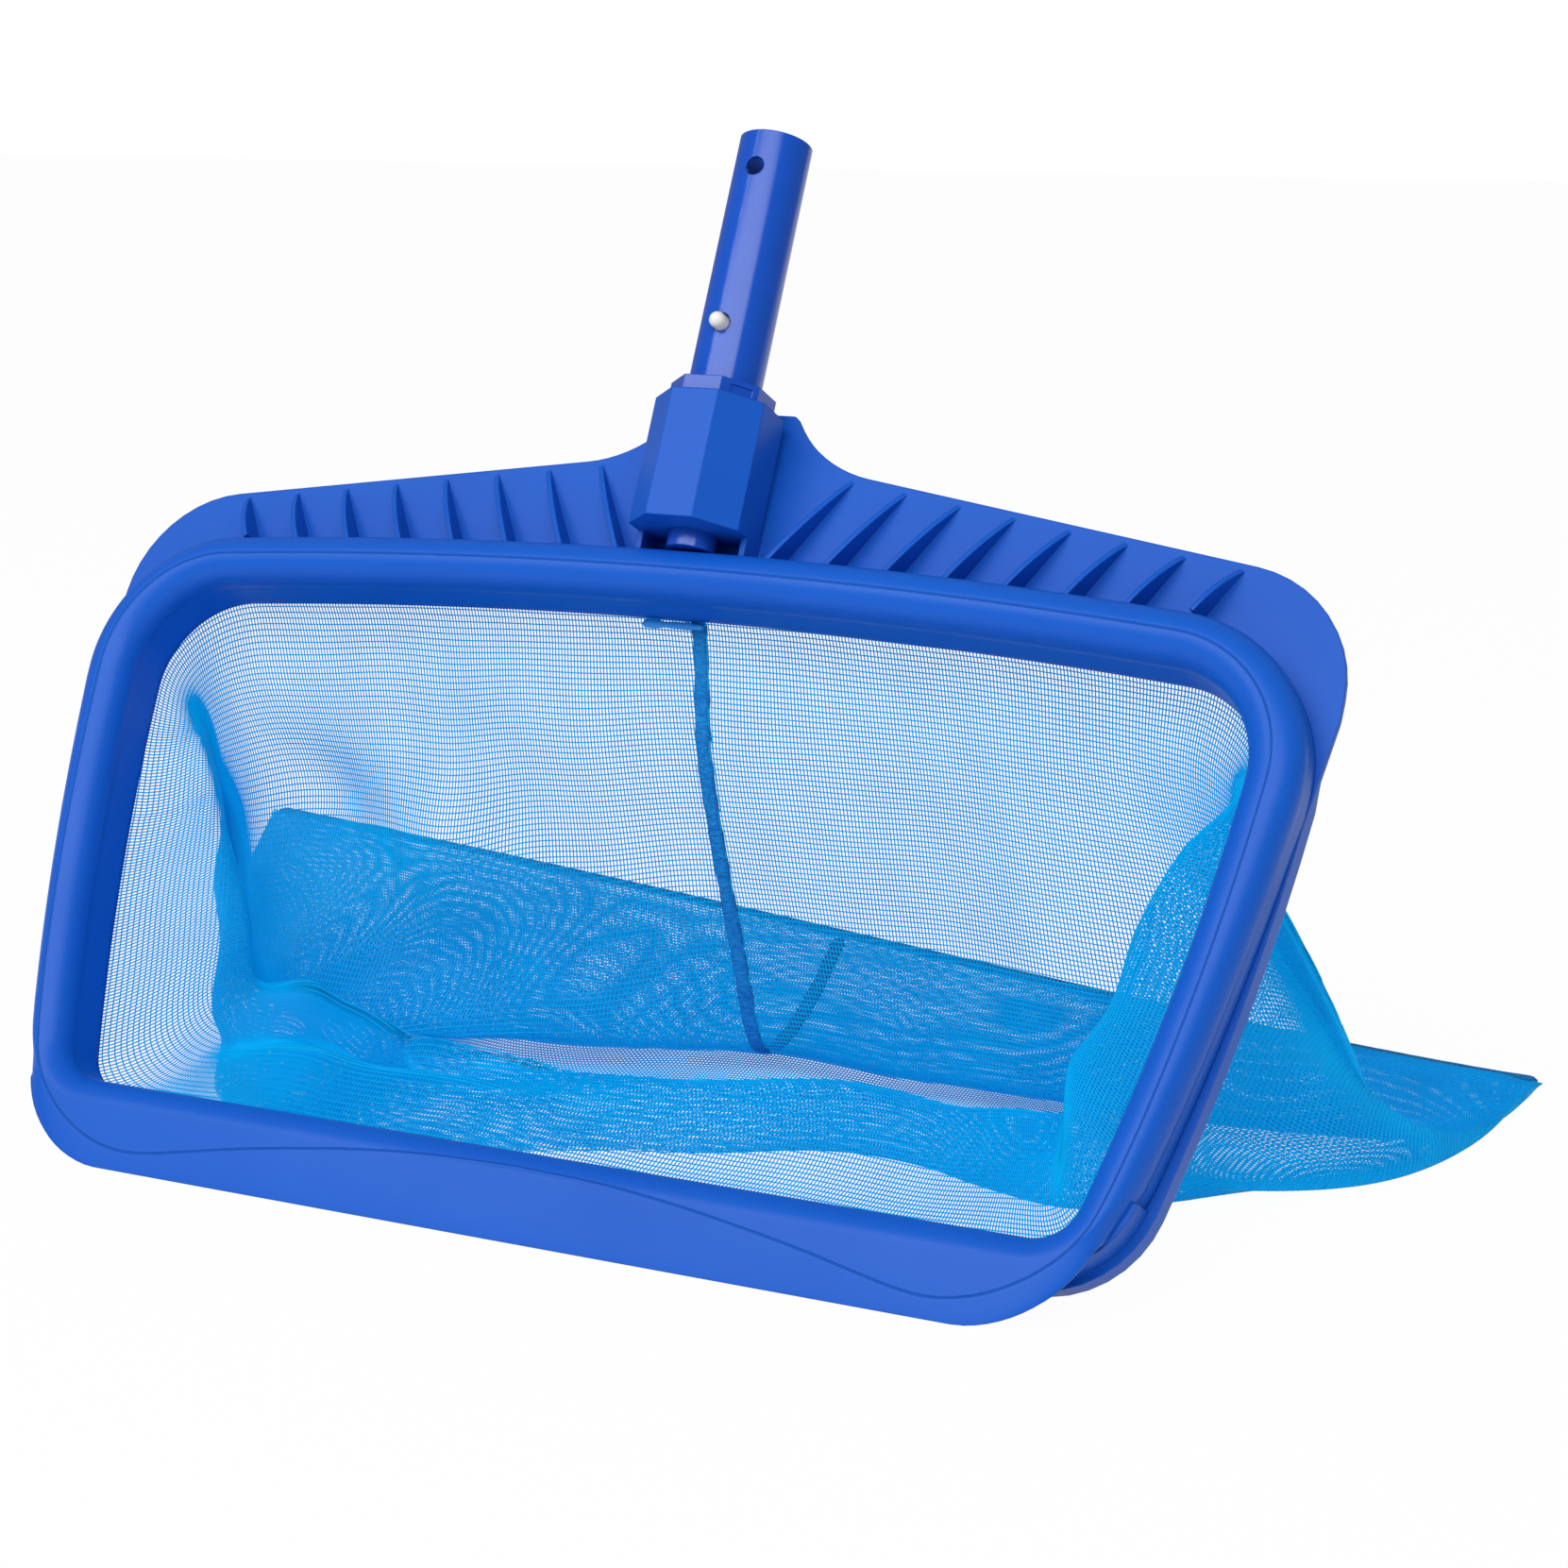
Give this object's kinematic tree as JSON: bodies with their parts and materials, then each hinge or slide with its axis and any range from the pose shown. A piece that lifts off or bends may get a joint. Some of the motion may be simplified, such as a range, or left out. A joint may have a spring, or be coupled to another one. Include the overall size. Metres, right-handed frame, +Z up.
{
  "type": "leaf skimmer net",
  "caption": "Pool leaf skimmer with a deep mesh bag in a two-part moulded frame, a skimming lip along the bottom, a ribbed flange and a short pole socket tube with spring buttons.",
  "frame": {"origin": "centre of the bounding box at the ground, with the net standing on its lip and its bag as it lies behind it", "axes": "+X along the lip to the user's right when facing the opening, +Y back from the opening along the bag, +Z up"},
  "size_m": [0.6474, 0.3846, 0.3807],
  "materials": {
    "frame_blue": "satin",
    "handle_blue": "gloss",
    "clip_white": "satin",
    "net_mesh": "woven",
    "seam_yarn": "sewn",
    "screw_steel": "satin"
  },
  "bodies": {
    "net": {"front_frame": "frame_blue", "rear_frame": "frame_blue", "frame_screws": "screw_steel", "handle": "handle_blue", "clip_bend": "clip_white", "net_hem": "net_mesh", "net_bag": "net_mesh", "centre_seam": "seam_yarn", "rear_seam": "seam_yarn"},
    "front_button": {"clip_arm_front": "clip_white"},
    "rear_button": {"clip_arm_rear": "clip_white"}
  },
  "joints": [
    {"name": "front_button_press", "type": "hinge", "parent": "net", "child": "front_button", "pos_m": [0.02973, -0.02569, 0.27121], "axis": [-1, 0, 0], "range_deg": [0, 9], "stiffness_Nm_per_rad": 0.3},
    {"name": "rear_button_press", "type": "hinge", "parent": "net", "child": "rear_button", "pos_m": [0.02973, -0.00872, 0.26267], "axis": [1, 0, 0], "range_deg": [0, 9], "stiffness_Nm_per_rad": 0.3}
  ]
}
